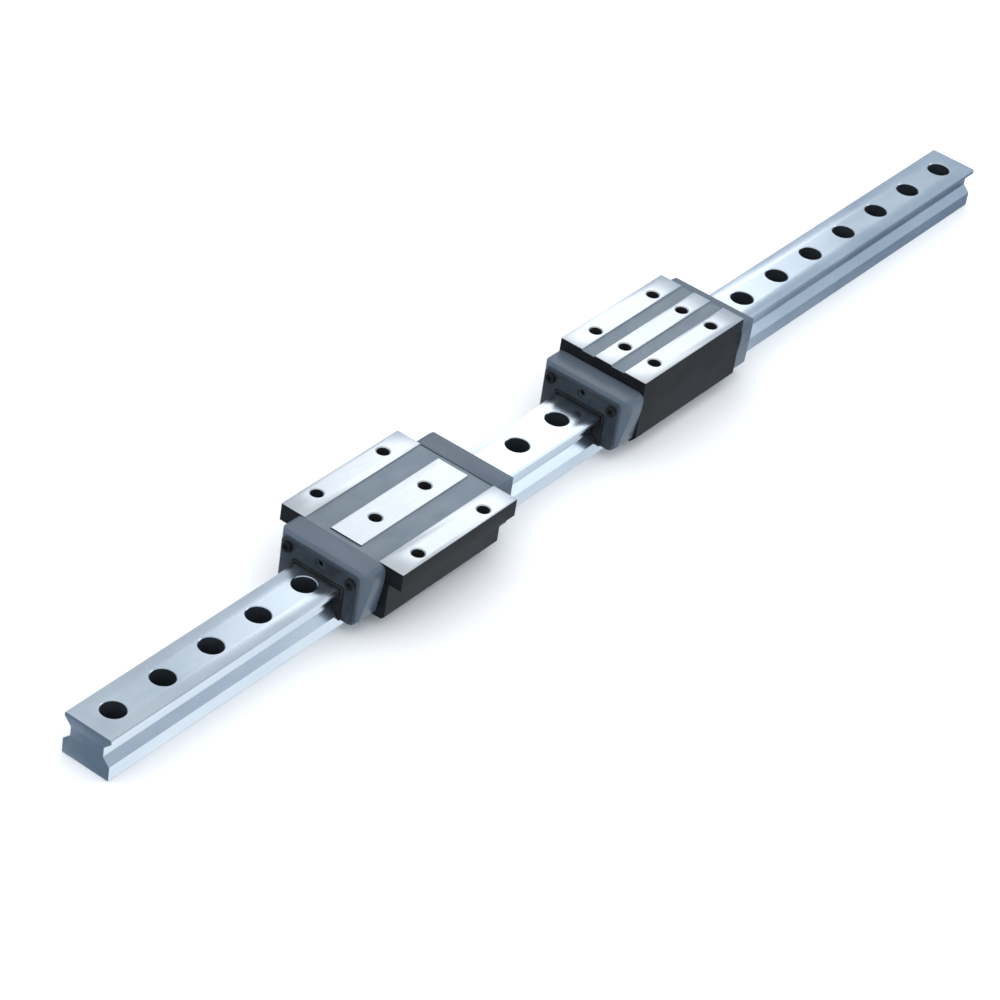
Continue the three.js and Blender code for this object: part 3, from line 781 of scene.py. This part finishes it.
def circuit_path(row, steps=8):
    """The centre line of a roller circuit in its own plane: closed points (along, away)."""
    lead = 0.0 if row == "upper" else LOOP["outer_lead"]
    half = STEEL_HALF + lead + LOOP["corner"]
    corners = [(-half, 0.0), (half, 0.0), (half, LOOP["span"]), (-half, LOOP["span"])]
    return rounded(corners, LOOP["corner"], steps)


def circuit_frame(row, side):
    """The place and directions of a roller circuit's plane."""
    sign = 1 if row == "upper" else -1
    along = Vector((1, 0, 0))
    away = Vector((0, side * RACE["diagonal"], -sign * RACE["diagonal"]))
    origin = Vector((0, side * ROW_Y, RAIL["race_middle"] + sign * RACE["row_gap"] / 2))
    return origin, along, away


def circuit_channels():
    """The four passages that the roller circuits need in the end cap, for the +X end."""
    bm = bmesh.new()
    half, width = ROLLER["diameter"] / 2 + GAP, ROLLER["length"] / 2 + GAP
    for side in (-1, 1):
        for row in ("upper", "lower"):
            origin, along, away = circuit_frame(row, side)
            across = along.cross(away)
            outline = [point for point in circuit_path(row) if point[0] > 0]
            path = [(STEEL_HALF - PAST, 0.0), *outline, (STEEL_HALF - PAST, LOOP["span"])]
            rings = []
            for i, (x, y) in enumerate(path):
                before, after = Vector(path[max(i - 1, 0)]), Vector(path[min(i + 1, len(path) - 1)])
                ahead = (after - before).normalized()
                normal = along * -ahead.y + away * ahead.x
                centre = origin + along * x + away * y
                corners = ((-1, -1), (1, -1), (1, 1), (-1, 1))
                rings.append([tuple(centre + normal * n * half + across * c * width) for n, c in corners])
            add_rings(bm, rings)
    return mesh_object("channel_cutter", bm)


def make_plate():
    foot, *rest = wiper_outer(WIPER["lip"] + GAP)
    inner = [(foot[0], PLATE["bottom"]), *rest]
    outline = mirrored([*reversed(inner), *end_outline(PLATE)])
    plate = swept("plate_master", outline, PLATE_START, PLATE_FRONT)
    bm = bmesh.new()
    start = PLATE_START - PAST
    for side in (-1, 1):
        screw_profile = [(SCREW["hole"], 0.0), (SCREW["hole"], PLATE["cut"])]
        turned(bm, screw_profile, (start, side * SCREW["y"], SCREW["z"]), (1, 0, 0), SIDES["plain"])
    plug_profile = [(PLATE["plug_hole"], 0.0), (PLATE["plug_hole"], PLATE["cut"])]
    turned(bm, plug_profile, (start, 0, PLUG["z"]), (1, 0, 0), SIDES["fine"])
    boolean(plate, mesh_object("plate_hole_cutter", bm))
    return smooth(bevelled(plate, PLATE["edge"], 2))


def make_wiper():
    """A rubber band in the cap's pocket, with a lip that stands out through the plate."""
    foot, band_gap, lip_gap = WIPER["foot"], WIPER["band_gap"], WIPER["lip_gap"]
    band = saddle(wiper_outer(WIPER["band"]), band_gap, foot, RAIL_HEIGHT + band_gap)
    lip = saddle(wiper_outer(WIPER["lip"]), lip_gap, foot, RAIL_HEIGHT + lip_gap)
    wiper = swept("wiper_master", band, WIPER_START, CAP_FRONT - WIPER["running"])
    boolean(wiper, swept("lip", lip, CAP_FRONT - WIPER["lap"], WIPER_FRONT), "UNION")
    return smooth(bevelled(wiper, WIPER["edge"], 2))


def make_screw():
    """A socket-head screw with a rounded head edge, a hexagon socket and a pointed tip."""
    place = (0, SCREW["y"], SCREW["z"])
    head_start = PLATE_FRONT + GAP
    shank, head, bend = SCREW["shank"], SCREW["head"], SCREW["head_round"]
    step, point = SCREW["head_step"], SCREW["point"]
    pitch, thread = SCREW["thread_pitch"], SCREW["thread_depth"]
    centre = SCREW_FRONT - bend
    arc = [(head - bend + bend * math.cos(a), centre + bend * math.sin(a)) for a in SCREW["head_angles"]]
    profile = [(shank - point, SCREW_TIP), (shank, SCREW_TIP + point)]
    station = SCREW_TIP + SCREW["thread_start"]
    while station < SCREW_TIP + SCREW["thread_length"]:
        profile += [(shank, station), (shank - thread, station + pitch / 2)]
        station += pitch
    profile += [(shank, station), (shank, head_start)]
    profile += [(head - step, head_start), (head, head_start + step), *arc]
    bm = bmesh.new()
    turned(bm, profile, place, (1, 0, 0), SIDES["fine"])
    screw = mesh_object("screw_master", bm)
    socket, floor = SCREW["hex"], SCREW_FRONT - SCREW["hex_depth"]
    mouth = socket + SOCKET["lip"]
    profile = [
        (SOCKET["floor_radius"], floor - SOCKET["floor_drop"]), (socket, floor),
        (socket, SCREW_FRONT - SOCKET["lip_drop"]), (mouth, SCREW_FRONT + SOCKET["lip_rise"]),
        (mouth, SCREW_FRONT + PAST),
    ]
    bm = bmesh.new()
    turned(bm, profile, place, (1, 0, 0), SIDES["hexagon"])
    boolean(screw, mesh_object("hex_cutter", bm))
    return smooth(screw)


def make_plug():
    """The grease port's plug, a short plug with a hexagon socket, sunk in the cap."""
    radius, tip, rim = PLUG["radius"], PLUG["tip"], PLUG["rim"]
    place = (0, 0, PLUG["z"])
    profile = [
        (radius - tip, PLUG_START), (radius, PLUG_START + tip),
        (radius, PLUG_FRONT - rim), (radius - rim, PLUG_FRONT),
    ]
    bm = bmesh.new()
    turned(bm, profile, place, (1, 0, 0), SIDES["fine"])
    plug = mesh_object("plug_master", bm)
    socket = [(PLUG["hex"], PLUG_FRONT - PLUG["hex_depth"]), (PLUG["hex"], PLUG_FRONT + PAST)]
    bm = bmesh.new()
    turned(bm, socket, place, (1, 0, 0), SIDES["hexagon"])
    boolean(plug, mesh_object("plug_hex_cutter", bm))
    return smooth(plug)


def make_ends():
    masters = {
        "end_cap": make_cap(), "cover_plate": make_plate(), "wiper": make_wiper(), "grease_plug": make_plug(),
    }
    screw = make_screw()
    for name in CARRIAGES:
        middle = middle_of(name)
        for end, turn in (("front", math.pi), ("rear", 0.0)):
            for part, master in masters.items():
                node = f"{name}_{end}_{part}"
                finished(placed_copy(master, f"{node}_shape", turn, middle), node)
            for side in ("left", "right"):
                node = f"{name}_{end}_screw_{side}"
                piece = placed_copy(screw, f"{node}_shape", turn, middle)
                own_left = end == "rear"
                if (side == "left") != own_left:
                    shift = 2 * (-1 if own_left else 1) * SCREW["y"] * MM
                    piece.data.transform(Matrix.Translation((0, shift, 0)))
                finished(piece, node)
    for master in [*masters.values(), screw]:
        bpy.data.objects.remove(master)


# ---- The pieces along a carriage ------------------------------------------------------------------

def along_path(path, distance):
    """The point at a distance along a closed path."""
    for here, after in zip(path, path[1:] + path[:1]):
        step = math.dist(here, after)
        if distance <= step:
            share = distance / step if step else 0.0
            return tuple(a + (b - a) * share for a, b in zip(here, after))
        distance -= step
    return path[0]


def make_rollers(name, row, side_name):
    """The separate rollers of one circuit, side by side all the way round."""
    side = 1 if side_name == "left" else -1
    origin, along, away = circuit_frame(row, side)
    axis = along.cross(away)
    path = circuit_path(row)
    total = sum(math.dist(a, b) for a, b in zip(path, path[1:] + path[:1]))
    count = int(total / (ROLLER["diameter"] + ROLLER["gap"]))
    radius, half, edge = ROLLER["diameter"] / 2, ROLLER["length"] / 2, ROLLER["edge"]
    profile = [(radius - edge, -half), (radius, edge - half), (radius, half - edge), (radius - edge, half)]
    bm = bmesh.new()
    for k in range(count):
        x, y = along_path(path, total * k / count)
        centre = origin + along * (x + middle_of(name)) + away * y
        turned(bm, profile, centre, axis, SIDES["roller"])
    node = f"{name}_roller_train_{row}_{side_name}"
    return finished(smooth(mesh_object(f"{node}_rollers", bm)), node)


def make_seal(name, side_name):
    side = 1 if side_name == "left" else -1
    node = f"{name}_bottom_seal_{side_name}"
    low, high = box_mm(node)
    corners = [(side * y, z) for y, z in SEAL["outline"]]
    strip = swept(f"{node}_strip", corners, low[0], high[0], SEAL["end_edge"], SEAL["radii"])
    return finished(smooth(strip), node)


def finish_inner_nodes():
    """The inner plastic pieces keep their CAD shape and get their look."""
    for node, piece in frame["nodes"].items():
        if SLOT_OF[node] == "guide_plastic":
            piece.data.materials.clear()
            piece.data.materials.append(LOOK["guide_plastic"])


# ---- Camera, light and floor ----------------------------------------------------------------------

def make_camera():
    azimuth, elevation = math.radians(CAMERA["azimuth"]), math.radians(CAMERA["elevation"])
    roll = math.radians(CAMERA["roll"])
    out = math.cos(elevation)
    back = Vector((math.sin(azimuth) * out, -math.cos(azimuth) * out, math.sin(elevation)))
    level = (-back).cross(Vector((0, 0, 1))).normalized()
    upright = level.cross(-back)
    right = math.cos(roll) * level + math.sin(roll) * upright
    up = -math.sin(roll) * level + math.cos(roll) * upright
    data = bpy.data.cameras.new("camera")
    data.lens = CAMERA["lens"]
    data.sensor_width = SENSOR
    data.clip_end = CAMERA["reach"]
    camera = bpy.data.objects.new("camera", data)
    turn = Matrix((right, up, back)).transposed().to_4x4()
    camera.matrix_world = Matrix.Translation(CAMERA["place"]) @ turn
    bpy.context.scene.collection.objects.link(camera)
    bpy.context.scene.camera = camera


def make_sky():
    """A pale sky that brightens upwards. Below the horizon it only shows in reflections."""
    world = bpy.data.worlds.new("studio")
    bpy.context.scene.world = world
    world.use_nodes = True
    nodes, links = world.node_tree.nodes, world.node_tree.links
    split = nodes.new("ShaderNodeSeparateXYZ")
    links.new(nodes.new("ShaderNodeTexCoord").outputs["Generated"], split.inputs[0])

    def ramp(socket, stops):
        made = nodes.new("ShaderNodeValToRGB")
        links.new(socket, made.inputs["Fac"])
        elements = made.color_ramp.elements
        while len(elements) < len(stops):
            elements.new(1.0)
        for element, (position, colour) in zip(elements, stops):
            element.position = position
            element.color = (*colour, 1.0)
        return made.outputs["Color"]

    along = nodes.new("ShaderNodeMapRange")
    along.inputs["From Min"].default_value = -1.0
    links.new(split.outputs["X"], along.inputs["Value"])
    horizon = nodes.new("ShaderNodeMapRange")
    horizon.inputs["From Min"].default_value = -SKY["horizon"]
    horizon.inputs["From Max"].default_value = SKY["horizon"]
    links.new(split.outputs["Z"], horizon.inputs["Value"])
    blend = nodes.new("ShaderNodeMix")
    blend.data_type = "RGBA"
    links.new(horizon.outputs["Result"], blend.inputs[0])
    links.new(ramp(along.outputs["Result"], BELOW), blend.inputs[6])
    links.new(ramp(split.outputs["Z"], [SKY["low"], SKY["high"]]), blend.inputs[7])
    links.new(blend.outputs[2], nodes["Background"].inputs["Color"])
    nodes["Background"].inputs["Strength"].default_value = SKY["strength"]


def make_lights():
    """A soft overhead light, and two panels for the ground steel of the tops and of the side to mirror."""
    sun = bpy.data.lights.new("overhead", "SUN")
    sun.energy = OVERHEAD["strength"]
    sun.angle = math.radians(OVERHEAD["angle"])
    overhead = bpy.data.objects.new("overhead", sun)
    overhead.visible_glossy = False
    bpy.context.scene.collection.objects.link(overhead)
    for name, spec in PANELS.items():
        panel = bpy.data.lights.new(name, "AREA")
        panel.shape = "RECTANGLE"
        panel.size, panel.size_y = spec["size"]
        panel.energy = spec["power"]
        holder = bpy.data.objects.new(name, panel)
        place, aim = Vector(spec["place"]), Vector(spec["aim"])
        turn = Quaternion((0, 0, 1), math.radians(spec["turn"]))
        holder.location = place
        holder.rotation_mode = "QUATERNION"
        holder.rotation_quaternion = (aim - place).to_track_quat("-Z", "Y") @ turn
        bpy.context.scene.collection.objects.link(holder)
    bpy.context.scene.view_settings.view_transform = "Standard"


def make_floor():
    shader = Shader("floor_look", Roughness=0.9, Specular_IOR_Level=0.0)
    mottle = shader.noise(3.0, detail=2.0)
    shade = tuple(0.985 * channel for channel in FLOOR["colour"])
    shader.colour(shader.mix(shader.between(mottle, 0.0, 1.0, 0.3, 0.7), shade, FLOOR["colour"]))
    half, height = FLOOR["size"] / 2 / MM, -FLOOR["drop"] / MM
    bm = bmesh.new()
    corners = ((-1, -1), (1, -1), (1, 1), (-1, 1))
    bm.faces.new([bm.verts.new((x * half, y * half, height)) for x, y in corners])
    floor = mesh_object("floor", bm)
    floor.data.materials.append(shader.material)
    floor.visible_glossy = False


make_camera()
make_sky()
make_lights()
make_floor()
make_rail()
for carriage_name in CARRIAGES:
    make_block(carriage_name)
    for row_name in ("upper", "lower"):
        for hand in ("left", "right"):
            make_rollers(carriage_name, row_name, hand)
    for hand in ("left", "right"):
        make_seal(carriage_name, hand)
make_ends()
finish_inner_nodes()
